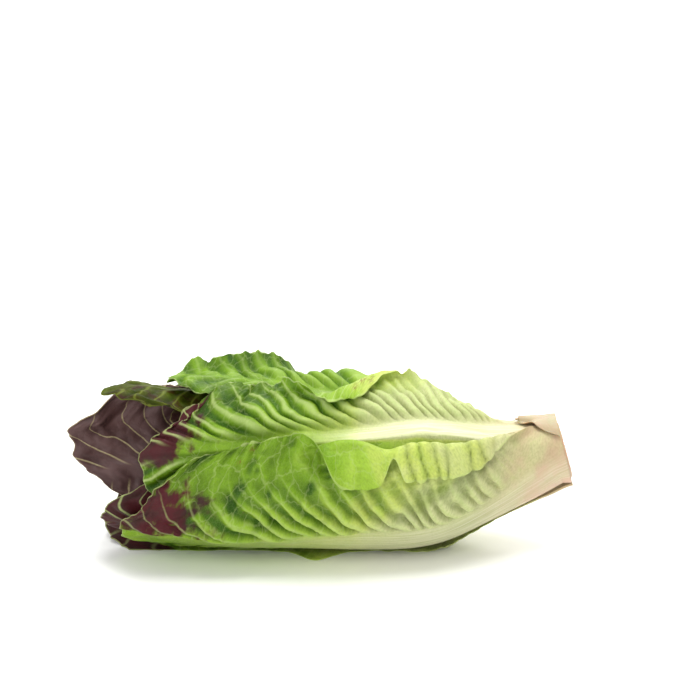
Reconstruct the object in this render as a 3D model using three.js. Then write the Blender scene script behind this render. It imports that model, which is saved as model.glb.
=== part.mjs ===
// A head of red-tipped romaine lettuce lying on its side on a table.
// The cut stem is at the +X end, the leaf tips point along -X, and the table is Z = 0.
// Millimetres throughout. A place in the head is a station (distance from the cut, along
// the centre line), an angle (0 faces the front, -Y, and 90 is up) and a distance out
// from the centre line. Every leaf grows from the stem and wraps round those inside it.

import * as THREE from "three";

// Driving dimensions of the head
const HEAD_LENGTH = 281;
const CENTRE_HEIGHT = 48; // of the centre line over the table, along the belly
const BUTT_LIFT = 8; // how much higher the cut end is held
const BUTT_LIFT_LENGTH = 28;
const OUTLINE = [
  [0, 17], [10, 19.5], [40, 30], [70, 42], [100, 47.5], [150, 50], [185, 52], [215, 50.5], [240, 47],
  [285, 40],
];

// The stem: a short cone inside the head, cut square at the butt
const STEM_LENGTH = 72;
const STEM_RADIUS = [[0, 15], [1, 16], [2.4, 15.6], [4, 12], [12, 9.5], [40, 6.5], [62, 4.5], [72, 2.2]];

// The stretch of the under leaf that is pressed flat on the table
const REST = { from: 66, to: 252 };

// Leaf thicknesses
const BLADE = 0.8;
const RIB_THICKNESS = [[0, 2.4], [0.04, 3.6], [0.12, 4.4], [0.3, 3.6], [0.5, 2.2], [0.75, 0.9], [1, 0.2]];
const RIB_HALF_WIDTH = [[0, 16], [0.15, 16.5], [0.3, 14], [0.5, 10], [0.75, 5.5], [1, 3]];
const RIB_OUTWARD = 0.72; // share of the midrib's thickness that stands out as its keel

// Half width of a leaf along its length, as a share of its widest
const HALF_WIDTH = [
  [0, 0.28], [0.08, 0.34], [0.16, 0.5], [0.3, 0.78], [0.5, 0.98], [0.66, 1], [0.84, 0.92], [1, 0.66],
];
const WIDEST = 56; // the half width at which a leaf has the whole of the rib sizes above
const TIP_ROUNDING = 32; // how far the tip's corners fall short of its point
const NOTCHES_ACROSS = 11;
const MARGIN_SHARE = 0.24; // the outer share of the half width, which can turn out
const TURN_RADIUS = 3; // of a margin that turns out
const OPENING_LENGTH = 85; // from a leaf's base to where it has its own depth in the head
const OUTER_SPACE = 2.5; // from the outline down to the outermost leaf's middle
const STEM_SPACE = 2; // from the stem to the innermost leaf's middle
const DEEP = 12; // a leaf this far inside the outline starts close round the stem
const LEAST_RADIUS = 6; // that a leaf is bent to

// Side ribs, and the frill of the margin
const SIDE_RIB_PITCH = 24;
const SIDE_RIB_SLANT = 0.8;
const SIDE_RIB_HEIGHT = 1.5;
const FRILL_LENGTHS = [41, 23];
const FRILL_SLANTS = [60, 35];
const PLAIN_SIDE_RIBS = 0.2; // share of the side ribs' height on a leaf of the heart
const PLAIN_MIDRIB = 0.3; // share of the midrib's thickness there
const PLAIN_FRILL = 0.4; // height of the frill there

// Clear space that each leaf keeps from those it is wrapped round, how steeply it comes
// down past one of their edges, and over how long a way
const CLEARANCE = 0.35;
const FOLD_CLEARANCE = 1;
const DRAPE_SLOPE = 0.45;
const BASE_DRAPE_SLOPE = 1.3;
const DRAPE_REACH = 14;
const LANDING = 0.6; // how softly a leaf comes down on what is inside it

const TABLE_SPACE = 8; // that a leaf of the heart keeps over the table
const STUB_THICKNESS = 3; // of the torn base at its rib
const STUB_ROUNDING = 2;
const STUB_SIZE = 0.9; // share of a whole leaf's rib width
const PHASE_STEP = 2.4; // so that no two leaves wave alike
const BASE_CROWDING = 1.35; // how much closer together a leaf's rows of corners are at its base

const COLOURS = { cream: 0xe6e3c0, green: 0x8fb544, heart: 0xc9d97a };
const HEART_LEAVES = 9;

// The leaves from the innermost to the outermost. turn is the midrib's angle, all along or
// at shares of the length; from and to are stations; half is the widest half width on the
// lower and on the higher side, and width its share along the leaf; depth is how far the
// leaf lies inside the outline at the belly, and belly how far it bulges from there; above
// is how far it stays over the table. strip is the width of the strip along either margin,
// and fold the angle it turns outward by. rib and broad scale the midrib's thickness and its
// width towards the tip, frill is the height of the margin's waves, blunt scales the tip's
// rounding, and rows and sides are how many rows and columns of corners the leaf has.
const LEAVES = [
  { name: "leaf_16", turn: -128, from: 54, to: 142, half: [14, 14], depth: 40 },
  { name: "leaf_15", turn: 95, from: 50, to: 162, half: [17, 17], depth: 36 },
  { name: "leaf_14", turn: -43, from: 46, to: 176, half: [21, 21], depth: 32 },
  { name: "leaf_13", turn: 180, from: 42, to: 188, half: [25, 25], depth: 28 },
  { name: "leaf_12", turn: 43, from: 38, to: 196, half: [29, 29], depth: 24 },
  { name: "leaf_11", turn: -95, from: 34, to: 205, half: [33, 33], depth: 21 },
  { name: "leaf_10", turn: -12, from: 30, to: 204, half: [36, 36], depth: 18 },
  { name: "leaf_09", turn: -150, from: 26, to: 234, half: [39, 39], depth: 15 },
  { name: "leaf_08", turn: 65, from: 22, to: 218, half: [40, 40], depth: 13 },
  {
    name: "leaf_07", turn: [[0, 126], [0.6, 112], [1, 96]], from: 18, to: 256, half: [34, 38], depth: 9,
    rib: 0.6, frill: 3, rows: 22, sides: 5, belly: [[180, 0], [215, 1], [236, 6], [256, 4]],
    strip: [null, [[0, 5], [0.84, 7], [0.93, 10], [1, 9]]],
    fold: [null, [[0.84, 0], [0.94, 45], [1, 45]]],
  },
  {
    name: "leaf_06", turn: [[0, -72], [0.6, -70], [1, -45]], from: 14, to: 256, half: [46, 46], depth: 9.5,
    rib: 0.5, rows: 18, sides: 5,
  },
  {
    name: "leaf_05", turn: 171, from: 11, to: 281, half: [54, 54], depth: 5.5, above: 6, rib: 0.7, frill: 3,
    rows: 24, sides: 6,
    width: [
      [
        [0, 0.28], [0.08, 0.34], [0.16, 0.5], [0.3, 0.78], [0.5, 0.9], [0.65, 0.75], [0.8, 0.45], [0.9, 0.33],
        [1, 0.3],
      ],
      HALF_WIDTH,
    ],
  },
  {
    name: "leaf_03", turn: [[0, 75], [0.35, 78], [0.54, 76], [0.7, 90], [1, 103]], from: 5, to: 220,
    half: [30, 52], depth: 7, rib: 0.8, frill: 2.5, rows: 28, blunt: 0.35, broad: 0.5,
    belly: [[80, 0], [121, -3], [165, 4], [215, 5]],
    width: [
      HALF_WIDTH,
      [[0, 0.28], [0.3, 0.6], [0.5, 0.7], [0.6, 0.55], [0.68, 0.36], [0.75, 0.25], [0.85, 0.18], [1, 0.16]],
    ],
    strip: [[[0, 4], [1, 5]], [[0, 5], [0.6, 8], [0.72, 11], [0.9, 11], [1, 9]]],
    fold: [null, [[0.64, 0], [0.75, 70], [1, 65]]],
  },
  {
    name: "leaf_04", turn: [[0, 42], [0.3, 40], [0.7, 30], [1, 25]], from: 2.5, to: 233, half: [48, 62],
    depth: 3.6, rib: 1, frill: 2.5, rows: 38, sides: 6, blunt: 0.7,
    width: [
      HALF_WIDTH,
      [
        [0, 0.12], [0.07, 0.15], [0.118, 0.18], [0.156, 0.24], [0.205, 0.32], [0.303, 0.42], [0.35, 0.51],
        [0.4, 0.61], [0.44, 0.56], [0.5, 0.42], [0.58, 0.33], [0.64, 0.37], [0.7, 0.39], [0.76, 0.42],
        [0.82, 0.38], [0.875, 0.38], [0.93, 0.36], [1, 0.3],
      ],
    ],
    strip: [null, [
      [0, 4], [0.1, 4], [0.3, 7], [0.39, 9], [0.43, 12], [0.47, 18], [0.5, 18], [0.58, 12], [0.64, 10],
      [1, 10],
    ]],
    fold: [null, [[0.33, 0], [0.4, 165], [0.58, 165], [0.66, 80], [0.74, 0]]],
  },
  {
    name: "leaf_02", turn: [[0, -30], [0.08, -38], [0.2, -48], [0.4, -51], [1, -54]], from: 1, to: 246,
    half: [33, 76], depth: 1, above: 2.4, rib: 1, frill: 2.5, rows: 41, sides: 6, broad: 2,
    belly: [[0, 0], [20, 1.5], [50, 3.6], [77, 3.8], [110, 1.5], [150, -0.5], [200, -3.5], [246, -5]],
    width: [
      HALF_WIDTH,
      [
        [0, 0.26], [0.068, 0.38], [0.15, 0.51], [0.29, 0.76], [0.35, 0.81], [0.4, 0.79], [0.45, 0.84],
        [0.5, 0.85], [0.56, 0.82], [0.62, 0.79], [0.68, 0.78], [0.77, 0.75], [0.82, 0.73], [0.875, 0.7],
        [0.95, 0.62], [1, 0.5],
      ],
    ],
    strip: [null, [
      [0, 3], [0.08, 6], [0.134, 10], [0.2, 18], [0.29, 22], [0.35, 22], [0.39, 16], [0.43, 24], [0.5, 26],
      [0.57, 15], [0.64, 11], [1, 11],
    ]],
    fold: [null, [[0.05, 0], [0.13, 172], [0.47, 172], [0.6, 70], [0.68, 0]]],
  },
  {
    name: "leaf_01", turn: -110, from: 1, to: 258, half: [58, 40], depth: -0.6, above: 0, rib: 1, frill: 2.5,
    rows: 28, sides: 6, blunt: 0.5,
    width: [
      HALF_WIDTH,
      [
        [0, 0.22], [0.1, 0.28], [0.2, 0.4], [0.3, 0.5], [0.46, 0.52], [0.54, 0.7], [0.6, 0.54], [0.68, 0.5],
        [0.84, 0.52], [1, 0.42],
      ],
    ],
    strip: [null, [[0, 3], [0.2, 5], [0.46, 7], [0.54, 13], [0.62, 8], [1, 7]]],
    fold: [null, [[0.44, 0], [0.52, 28], [0.58, 28], [0.66, 0]]],
  },
  {
    name: "torn_leaf_base", turn: [[0, 82], [1, 90]], from: 0.8, to: 24, half: [11, 16], depth: 0, rows: 5,
    sides: 3,
    width: [[[0, 1], [0.4, 0.9], [1, 0.55]], [[0, 1], [0.4, 0.8], [1, 0.5]]], stub: true,
  },
];

const DEGREES = Math.PI / 180;
const mix = (a, b, t) => a + (b - a) * t;
const step = (low, high, x) => THREE.MathUtils.smoothstep(x, low, high);

// A smooth line through a few [x, y] points.
function through(points, x) {
  const last = points.length - 1;
  if (x <= points[0][0]) return points[0][1];
  if (x >= points[last][0]) return points[last][1];
  let i = 0;
  while (x > points[i + 1][0]) i += 1;
  const slope = (k) => {
    const [x0, y0] = points[Math.max(k - 1, 0)];
    const [x1, y1] = points[Math.min(k + 1, last)];
    return (y1 - y0) / (x1 - x0);
  };
  const [x0, y0] = points[i];
  const [x1, y1] = points[i + 1];
  const t = (x - x0) / (x1 - x0);
  const run = (x1 - x0) * t * (1 - t);
  return mix(y0, y1, t * t * (3 - 2 * t)) + run * (slope(i) * (1 - t) - slope(i + 1) * t);
}

// The greater of two lengths, rounded where they meet.
function greater(a, b, softness) {
  return (a + b + Math.hypot(a - b, softness)) / 2;
}

const centreHeight = (station) => CENTRE_HEIGHT + BUTT_LIFT * Math.exp(-station / BUTT_LIFT_LENGTH);
const centreSlope = (station) => (-BUTT_LIFT / BUTT_LIFT_LENGTH) * Math.exp(-station / BUTT_LIFT_LENGTH);

// How far down from the centre line the table is, square to that line.
function tableDepth(station) {
  return centreHeight(station) * Math.hypot(1, centreSlope(station));
}

// From a point of the straight head (station, across, up) to its place on the table.
function placed(point) {
  const slope = centreSlope(point.x);
  const length = Math.hypot(1, slope);
  const height = centreHeight(point.x) + point.z / length;
  const flat = Math.abs(height) < 0.01 ? 0 : height;
  return new THREE.Vector3(-point.x + (point.z * slope) / length, point.y, flat);
}

const inHead = (station, angle, out) =>
  new THREE.Vector3(station, -out * Math.cos(angle), out * Math.sin(angle));

// How far out the layers laid so far reach, on a grid of stations and angles.
const STATION_STEP = 2.5;
const STATIONS = Math.ceil((HEAD_LENGTH + 20) / STATION_STEP);
const ANGLES = 120;
const laid = new Float64Array(STATIONS * ANGLES);

function cell(i, j) {
  return Math.min(Math.max(i, 0), STATIONS - 1) * ANGLES + (((j % ANGLES) + ANGLES) % ANGLES);
}

function raise(point) {
  const angle = Math.atan2(point.z, -point.y);
  const i = Math.round(point.x / STATION_STEP);
  const j = Math.round((angle / (2 * Math.PI)) * ANGLES);
  const out = Math.hypot(point.y, point.z);
  laid[cell(i, j)] = Math.max(laid[cell(i, j)], out);
}

// How far out a leaf has to be at a place, to lie over the layers inside it. Its corners are
// a span apart, so each is lifted by whatever lies within a span of it, and past that the
// leaf comes down again no steeper than it drapes.
function reachAt(station, angle, out, span) {
  const arc = (2 * Math.PI * out) / ANGLES;
  const rows = Math.ceil((span.along + DRAPE_REACH) / STATION_STEP);
  const columns = Math.min(Math.ceil((span.across + DRAPE_REACH) / arc), ANGLES / 2);
  const row = Math.round(station / STATION_STEP);
  const column = Math.round((angle / (2 * Math.PI)) * ANGLES);
  const slope = mix(BASE_DRAPE_SLOPE, DRAPE_SLOPE, step(15, 100, station));
  let reach = 0;
  for (let di = -rows; di <= rows; di++) {
    if (row + di < 0 || row + di >= STATIONS) continue;
    for (let dj = -columns; dj <= columns; dj++) {
      const along = Math.max(Math.abs(di) * STATION_STEP - span.along, 0);
      const across = Math.max(Math.abs(dj) * arc - span.across, 0);
      const past = Math.hypot(along, across);
      reach = Math.max(reach, laid[cell(row + di, column + dj)] - slope * past);
    }
  }
  return reach;
}

// How far across the leaf a place is, at a share u of its length and a share v of its half
// width (-1 and 1 are its margins), and how far its margin is lifted where it turns out.
function acrossLeaf(leaf, u, v) {
  const side = v < 0 ? 0 : 1;
  const share = Math.abs(v);
  const inner = 1 - MARGIN_SHARE;
  const half = leaf.half[side] * through(leaf.width?.[side] ?? HALF_WIDTH, u);
  const strip = leaf.strip?.[side] ? through(leaf.strip[side], u) : half * MARGIN_SHARE;
  const body = leaf.strip?.[side] ? half : half * inner;
  const away = share < inner ? (body * share) / inner : body + (strip * (share - inner)) / MARGIN_SHARE;

  // The margin strip turns outward on a small radius, then runs back straight
  const turn = leaf.fold?.[side] ? Math.max(through(leaf.fold[side], u), 0) * DEGREES : 0;
  const past = Math.max(away - body, 0);
  const bent = Math.min(past, TURN_RADIUS * turn);
  const bend = bent / TURN_RADIUS;
  const sideways = Math.min(away, body) + TURN_RADIUS * Math.sin(bend) + (past - bent) * Math.cos(bend);
  const lifted = TURN_RADIUS * (1 - Math.cos(bend)) + (past - bent) * Math.sin(bend);
  return { side, share, body, away, lifted, along: Math.sign(v) * (turn > 0 ? sideways : away) };
}

// The station and angle of a place on a leaf, and the radius that the leaf is bent to there.
function inRing(leaf, u, v, { share, along }) {
  const rounding = leaf.stub ? STUB_ROUNDING : TIP_ROUNDING * leaf.size * (leaf.blunt ?? 1);
  const notch = (leaf.frill ?? 1) * (0.5 - 0.5 * Math.cos(v * NOTCHES_ACROSS + leaf.phase)) * step(0.7, 1, u);
  const short = rounding * share * share * step(0.45, 1, u) + (leaf.stub ? 0 : notch);
  const station = leaf.from + (leaf.to - leaf.from) * u - short;
  const settled = step(leaf.from, leaf.from + OPENING_LENGTH, station);
  const depth = leaf.depth > 0 ? leaf.depth * settled : leaf.depth;
  const belly = leaf.belly ? through(leaf.belly, station) : 0;
  const ring = through(OUTLINE, station) - depth - OUTER_SPACE + belly;
  const stemmed = through(STEM_RADIUS, station) + STEM_SPACE;
  const opened = mix(1, settled, Math.min(1, Math.max(leaf.depth, 0) / DEEP));
  const around = Math.max(mix(stemmed, ring, opened), LEAST_RADIUS);
  const middle = Array.isArray(leaf.turn) ? through(leaf.turn, u) : leaf.turn;
  return { station, around, angle: middle * DEGREES + along / around };
}

// How far the leaf stands out there: side ribs between pockets, and the frilled margin.
function relief(leaf, u, { side, share, away, along }, ribHalf) {
  if (leaf.stub) return 0;
  const travel = (leaf.to - leaf.from) * u;
  const beyond = away - ribHalf * 0.8;
  const turns = (travel - SIDE_RIB_SLANT * away) / SIDE_RIB_PITCH + side / 2;
  const ribbed = 0.5 + 0.5 * Math.cos(turns * 2 * Math.PI);
  const towardsMargin = 1 - 0.6 * step(15, 50, beyond);
  const ribFade = step(0, 10, beyond) * towardsMargin * step(0.12, 0.3, u) * (leaf.rib ?? PLAIN_SIDE_RIBS);
  const frillFade = (leaf.frill ?? PLAIN_FRILL) * step(0.5, 1, Math.max(share, u ** 3)) * step(0.15, 0.35, u);
  const longWave = travel / FRILL_LENGTHS[0] + along / FRILL_SLANTS[0];
  const shortWave = travel / FRILL_LENGTHS[1] - along / FRILL_SLANTS[1];
  const frill =
    0.5 +
    0.33 * Math.sin(longWave * 2 * Math.PI + leaf.phase) +
    0.17 * Math.sin(shortWave * 2 * Math.PI + 2 * leaf.phase);
  return SIDE_RIB_HEIGHT * ribbed * ribFade + frillFade * frill;
}

// The mid-surface of a leaf at a place, and its thickness to the outside and the inside.
// Its corners there are gaps apart, as shares of its length and of its half width.
function leafPlace(leaf, u, v, gaps) {
  const place = acrossLeaf(leaf, u, v);
  const { station, around, angle } = inRing(leaf, u, v, place);
  const widened = mix(1, leaf.broad ?? 1, step(0.1, 0.8, u));
  const ribHalf = through(RIB_HALF_WIDTH, u) * leaf.size * widened;
  const thickness = leaf.stub ? STUB_THICKNESS : through(RIB_THICKNESS, u) * (leaf.rib ?? PLAIN_MIDRIB);
  const rib = Math.max(0, 1 - (place.away / ribHalf) ** 2) ** 1.4 * thickness;
  const outside = BLADE / 2 + rib * RIB_OUTWARD;
  const inside = BLADE / 2 + rib * (1 - RIB_OUTWARD);

  const inner = 1 - MARGIN_SHARE;
  const span = { along: gaps.along * (leaf.to - leaf.from), across: (gaps.across * place.body) / inner };
  const chordSag = span.across ** 2 / (8 * around);
  const foldSpace = leaf.fold?.[place.side] ? FOLD_CLEARANCE * step(0.5, inner, place.share) : 0;
  const over = reachAt(station, angle, around, span) + CLEARANCE + chordSag + foldSpace + inside;
  let out = greater(around, over, LANDING) + relief(leaf, u, place, ribHalf) + place.lifted;

  // A leaf that meets the table lies flat on it, or on the leaf between
  const floor = tableDepth(station) - (leaf.above ?? TABLE_SPACE) - outside;
  const down = -Math.sin(angle);
  if (leaf.above === 0) {
    const rest = step(REST.from, REST.from + 16, station) * (1 - step(REST.to - 16, REST.to, station));
    out = mix(out, Math.max(out, floor / Math.max(down, 0.5)), rest * step(0.9, 0.96, down));
  }
  if (down > 0.2) out = Math.min(out, floor / down);
  return { point: inHead(station, angle, out), outside, inside };
}

// A leaf as one closed shell: its outer and inner faces on one grid, joined round the edge.
function layLeaf(sizes, order) {
  const size = sizes.stub ? STUB_SIZE : Math.min(1, Math.max(...sizes.half) / WIDEST);
  const leaf = { ...sizes, size, phase: order * PHASE_STEP };
  const rows = leaf.rows ?? 13;
  const shares = columnShares(leaf, leaf.sides ?? 4);
  const columns = shares.length;
  const lengths = Array.from({ length: rows + 1 }, (_, i) => (i / rows) ** BASE_CROWDING);
  const gap = (list, k) => Math.max(list[k] - (list[k - 1] ?? list[k]), (list[k + 1] ?? list[k]) - list[k]);
  const grid = lengths.map((u, i) => {
    return shares.map((v, j) => leafPlace(leaf, u, v, { along: gap(lengths, i), across: gap(shares, j) }));
  });

  const outer = [];
  const inner = [];
  for (let i = 0; i <= rows; i++) {
    for (let j = 0; j < columns; j++) {
      const { point, outside, inside } = grid[i][j];
      const onward = grid[Math.min(i + 1, rows)][j].point.clone().sub(grid[Math.max(i - 1, 0)][j].point);
      const right = grid[i][Math.min(j + 1, columns - 1)].point;
      const across = right.clone().sub(grid[i][Math.max(j - 1, 0)].point);
      const normal = onward.cross(across).normalize();
      const face = point.clone().addScaledVector(normal, outside);
      const back = point.clone().addScaledVector(normal, -inside);
      if (leaf.above === 0 && face.z < 0.3 - tableDepth(face.x)) face.z = -tableDepth(face.x);
      outer.push(face);
      inner.push(back);
    }
  }
  for (const face of [outer, inner]) raiseOver(face, rows, columns);
  return shell(outer, inner, rows, columns);
}

// Columns from margin to margin, closer where the margin turns right over.
function columnShares(leaf, sides) {
  const half = (side) => {
    const strongest = Math.max(0, ...(leaf.fold?.[side] ?? []).map(([, angle]) => angle));
    if (strongest > 90) return [0.12, 0.26, 0.44, 0.62, 1 - MARGIN_SHARE, 0.81, 0.86, 0.93, 1];
    if (strongest > 0) return [0.2, 0.4, 0.6, 1 - MARGIN_SHARE, 0.84, 0.92, 1];
    return Array.from({ length: sides }, (_, k) => ((k + 1) / sides) ** 1.1);
  };
  return [...half(0).map((v) => -v).reverse(), 0, ...half(1)];
}

function raiseOver(face, rows, columns) {
  const parts = 4;
  for (let i = 0; i < rows; i++) {
    for (let j = 0; j < columns - 1; j++) {
      const corner = (di, dj) => face[(i + di) * columns + j + dj];
      for (let s = 0; s <= parts; s++) {
        const start = corner(0, 0).clone().lerp(corner(1, 0), s / parts);
        const end = corner(0, 1).clone().lerp(corner(1, 1), s / parts);
        for (let t = 0; t <= parts; t++) raise(start.clone().lerp(end, t / parts));
      }
    }
  }
}

function shell(outer, inner, rows, columns) {
  const corners = [...outer, ...inner].map(placed);
  const faces = [];
  const quad = (a, b, c, d) => faces.push([a, b, c], [a, c, d]);
  const count = outer.length;
  const at = (i, j) => i * columns + j;
  for (let i = 0; i < rows; i++) {
    for (let j = 0; j < columns - 1; j++) {
      quad(at(i, j), at(i, j + 1), at(i + 1, j + 1), at(i + 1, j));
      faces.push([count + at(i, j), count + at(i + 1, j + 1), count + at(i, j + 1)]);
      faces.push([count + at(i, j), count + at(i + 1, j), count + at(i + 1, j + 1)]);
    }
  }
  const rim = [];
  for (let j = 0; j < columns - 1; j++) rim.push(at(0, j));
  for (let i = 0; i < rows; i++) rim.push(at(i, columns - 1));
  for (let j = columns - 1; j > 0; j--) rim.push(at(rows, j));
  for (let i = rows; i > 0; i--) rim.push(at(i, 0));
  rim.forEach((a, k) => {
    const b = rim[(k + 1) % rim.length];
    quad(b, a, count + a, count + b);
  });
  return closed(corners, faces);
}

// A solid from its corners and faces, with the faces turned to point outward.
function closed(corners, faces) {
  let volume = 0;
  for (const [a, b, c] of faces) {
    volume += corners[a].dot(corners[b].clone().cross(corners[c]));
  }
  const turned = volume < 0 ? faces.map(([a, b, c]) => [a, c, b]) : faces;
  const geometry = new THREE.BufferGeometry();
  geometry.setAttribute("position", new THREE.Float32BufferAttribute(corners.flatMap((p) => p.toArray()), 3));
  geometry.setIndex(turned.flat());
  geometry.computeVertexNormals();
  return geometry;
}

// The stem is turned about the centre line, with a flat cut face and a rounded growing tip.
function stemGeometry() {
  const rings = [0, 1, 2.4, 4, 8, 14, 22, 34, 48, 62, 68, STEM_LENGTH];
  const sides = 24;
  const corners = [placed(inHead(0, 0, 0))];
  const faces = [];
  rings.forEach((station) => {
    for (let k = 0; k < sides; k++) {
      const point = inHead(station, (k / sides) * 2 * Math.PI, through(STEM_RADIUS, station));
      corners.push(placed(point));
    }
  });
  corners.push(placed(inHead(STEM_LENGTH + 1, 0, 0)));
  const at = (ring, k) => 1 + ring * sides + (k % sides);
  for (let k = 0; k < sides; k++) {
    faces.push([0, at(0, k + 1), at(0, k)]);
    faces.push([corners.length - 1, at(rings.length - 1, k), at(rings.length - 1, k + 1)]);
    for (let ring = 0; ring < rings.length - 1; ring++) {
      faces.push([at(ring, k), at(ring, k + 1), at(ring + 1, k + 1)]);
      faces.push([at(ring, k), at(ring + 1, k + 1), at(ring + 1, k)]);
    }
  }
  return closed(corners, faces);
}

function finish(colour) {
  return new THREE.MeshStandardMaterial({ color: colour, roughness: 0.55, side: THREE.DoubleSide });
}

const head = new THREE.Group();

for (let i = 0; i < STATIONS; i++) {
  const near = [-0.5, 0, 0.5].map((part) => (i + part) * STATION_STEP);
  const out = i * STATION_STEP <= STEM_LENGTH + 1 ? Math.max(...near.map((x) => through(STEM_RADIUS, x))) : 0;
  for (let j = 0; j < ANGLES; j++) laid[cell(i, j)] = out;
}
const stem = new THREE.Mesh(stemGeometry(), finish(COLOURS.cream));
stem.name = "stem";
head.add(stem);

LEAVES.forEach((leaf, order) => {
  const colour = order < HEART_LEAVES ? COLOURS.heart : COLOURS.green;
  const mesh = new THREE.Mesh(layLeaf(leaf, order), finish(colour));
  mesh.name = leaf.name;
  head.add(mesh);
});

// The origin is on the table, under the middle of the head
const middle = new THREE.Box3().setFromObject(head).getCenter(new THREE.Vector3());
head.position.set(-middle.x, -middle.y, 0);

export default head;
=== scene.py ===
import math

import bpy
import numpy as np
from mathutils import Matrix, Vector


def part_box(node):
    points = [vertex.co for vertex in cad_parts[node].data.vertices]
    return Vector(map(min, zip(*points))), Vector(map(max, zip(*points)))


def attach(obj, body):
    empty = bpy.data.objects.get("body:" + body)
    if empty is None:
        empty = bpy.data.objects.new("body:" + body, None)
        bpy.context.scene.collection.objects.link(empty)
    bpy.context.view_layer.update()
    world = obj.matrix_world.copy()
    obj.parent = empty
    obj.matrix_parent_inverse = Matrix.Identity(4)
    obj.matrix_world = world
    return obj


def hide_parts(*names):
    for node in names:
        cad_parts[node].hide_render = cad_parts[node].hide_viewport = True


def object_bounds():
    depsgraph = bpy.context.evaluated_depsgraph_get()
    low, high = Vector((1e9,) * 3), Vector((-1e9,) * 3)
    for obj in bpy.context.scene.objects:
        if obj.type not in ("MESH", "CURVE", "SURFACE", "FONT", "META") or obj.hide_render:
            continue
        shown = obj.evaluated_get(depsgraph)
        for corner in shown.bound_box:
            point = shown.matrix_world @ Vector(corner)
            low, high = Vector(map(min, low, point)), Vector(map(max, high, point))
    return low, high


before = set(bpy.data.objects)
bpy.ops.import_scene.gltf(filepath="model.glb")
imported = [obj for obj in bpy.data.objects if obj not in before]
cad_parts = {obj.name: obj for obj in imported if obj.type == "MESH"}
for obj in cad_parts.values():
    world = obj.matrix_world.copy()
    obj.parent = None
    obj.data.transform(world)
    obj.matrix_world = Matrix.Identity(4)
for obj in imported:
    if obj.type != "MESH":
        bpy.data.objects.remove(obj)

cad_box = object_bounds()

# The camera looks along the head from the front and a little above, as the photograph does.
# The head's 504 pixels in that 700-pixel frame are 280 mm.
MM = 0.001
PHOTO_WIDTH = 700
HEAD_PIXELS = (69, 573)
CENTRE_LINE_PIXEL = 465
LENS_MM = 110
SENSOR_MM = 36
HEAD_LENGTH_MM = 280
CENTRE_HEIGHT_MM = 48
CAMERA_PITCH = math.radians(16.5)
# The tip lies a little behind the middle of the head, so the camera stands this much closer
FAR_END_FACTOR = 0.978

mm_per_pixel = HEAD_LENGTH_MM / (HEAD_PIXELS[1] - HEAD_PIXELS[0])
cut_x = cad_box[1][0] / MM
aim_x = cut_x - (HEAD_PIXELS[1] - PHOTO_WIDTH / 2) * mm_per_pixel
aim_z = CENTRE_HEIGHT_MM + (CENTRE_LINE_PIXEL - PHOTO_WIDTH / 2) * mm_per_pixel / math.cos(CAMERA_PITCH)
distance = PHOTO_WIDTH * mm_per_pixel * LENS_MM / SENSOR_MM * FAR_END_FACTOR
camera_data = bpy.data.cameras.new("camera")
camera_data.lens = LENS_MM
camera_data.sensor_width = SENSOR_MM
camera = bpy.data.objects.new("camera", camera_data)
camera_y = -distance * math.cos(CAMERA_PITCH)
camera_z = aim_z + distance * math.sin(CAMERA_PITCH)
camera.location = Vector((aim_x, camera_y, camera_z)) * MM
camera.rotation_euler = (math.pi / 2 - CAMERA_PITCH, 0, 0)
bpy.context.scene.collection.objects.link(camera)
bpy.context.scene.camera = camera


# The floor is a plain pale sheet, under soft studio light: one big softbox over the head, a
# weaker one in front, one over the far floor, which keeps it white, and a pale surround.
def paint(code):
    """A colour from its screen code, as the linear values that a socket takes."""
    shades = [int(code[i : i + 2], 16) / 255 for i in (0, 2, 4)]
    return (*(s / 12.92 if s <= 0.04045 else ((s + 0.055) / 1.055) ** 2.4 for s in shades), 1)


def add(tree, kind, inputs=None, **settings):
    """A node of that kind, with its settings, and with each input linked or set to a value."""
    node = tree.nodes.new(kind)
    for name, value in settings.items():
        setattr(node, name, value)
    for key, value in (inputs or {}).items():
        if isinstance(value, bpy.types.NodeSocket):
            tree.links.new(value, node.inputs[key])
        else:
            node.inputs[key].default_value = value
    return node


def new_material(name):
    """An empty node material and its tree."""
    material = bpy.data.materials.new(name)
    material.use_nodes = True
    material.node_tree.nodes.clear()
    return material, material.node_tree


FLOOR_HALF = 3.0
floor_corners = [(x * FLOOR_HALF, y * FLOOR_HALF, 0) for x, y in ((-1, -1), (1, -1), (1, 1), (-1, 1))]
floor_mesh = bpy.data.meshes.new("floor")
floor_mesh.from_pydata(floor_corners, [], [(0, 1, 2, 3)])
floor = bpy.data.objects.new("floor", floor_mesh)
bpy.context.scene.collection.objects.link(floor)
floor_material, tree = new_material("floor")
board = add(tree, "ShaderNodeBsdfPrincipled", {"Base Color": paint("FAFAF8"), "Roughness": 0.8})
add(tree, "ShaderNodeOutputMaterial", {"Surface": board.outputs[0]})
floor_mesh.materials.append(floor_material)


HEAD_MIDDLE = (0, 0, 0.05)
SURROUND_STRENGTH = 0.78


def softbox(name, place, size, watts, aim=HEAD_MIDDLE):
    """A square area light at a place in metres, aimed at the head or another place."""
    data = bpy.data.lights.new(name, "AREA")
    data.size = size
    data.energy = watts
    light = bpy.data.objects.new(name, data)
    light.location = place
    light.rotation_euler = (Vector(aim) - Vector(place)).to_track_quat("-Z", "Y").to_euler()
    bpy.context.scene.collection.objects.link(light)


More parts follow.
